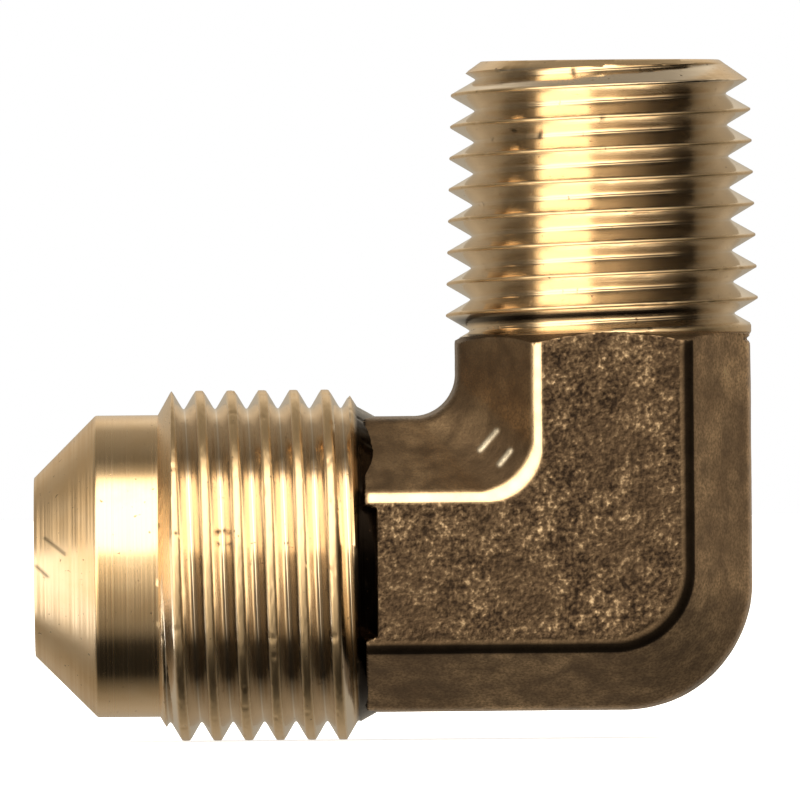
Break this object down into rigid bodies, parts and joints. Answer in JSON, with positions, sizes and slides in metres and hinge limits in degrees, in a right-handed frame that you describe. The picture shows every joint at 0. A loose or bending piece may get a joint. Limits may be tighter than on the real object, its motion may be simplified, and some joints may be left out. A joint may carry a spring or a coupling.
{
  "type": "flare elbow fitting",
  "caption": "Right-angle brass tube fitting with a flared-tube end and a tapered pipe thread end, flow bore through both legs.",
  "frame": {"origin": "where the axes of the two flow bores cross, inside the bend", "axes": "+Z out of the pipe-thread leg along its bore, -X out of the flare leg along its bore, Y through the thickness, with the two wrench panels facing -Y and +Y"},
  "size_m": [0.0327, 0.0158, 0.0304],
  "materials": {
    "brass": "satin"
  },
  "bodies": {
    "root": {"elbow_body": "brass"}
  },
  "joints": []
}
